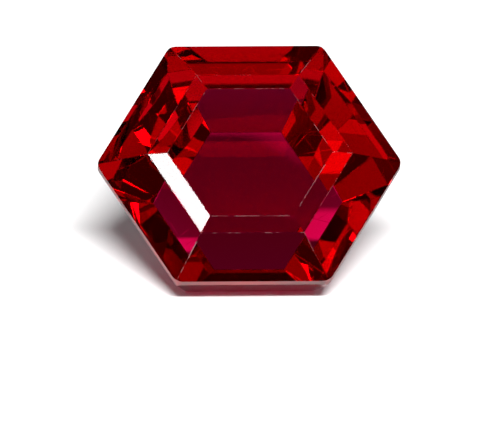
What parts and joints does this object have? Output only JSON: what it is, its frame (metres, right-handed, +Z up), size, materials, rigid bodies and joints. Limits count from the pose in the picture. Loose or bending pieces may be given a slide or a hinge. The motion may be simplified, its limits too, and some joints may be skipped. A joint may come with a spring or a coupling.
{
  "type": "hexagonal ruby gemstone",
  "caption": "Loose step-cut ruby with a hexagonal outline, a wide table, a low crown and a deep pavilion with a flat culet, lying on a pavilion facet.",
  "frame": {"origin": "on the surface the stone lies on, below the middle of its bounding box", "axes": "+Z up; the table faces the front, -Y, and leans back; +X runs across the stone from corner to corner"},
  "size_m": [0.0114, 0.0082, 0.0084],
  "materials": {
    "ruby": "polished, transparent deep red"
  },
  "bodies": {
    "root": {"ruby": "ruby"}
  },
  "joints": []
}
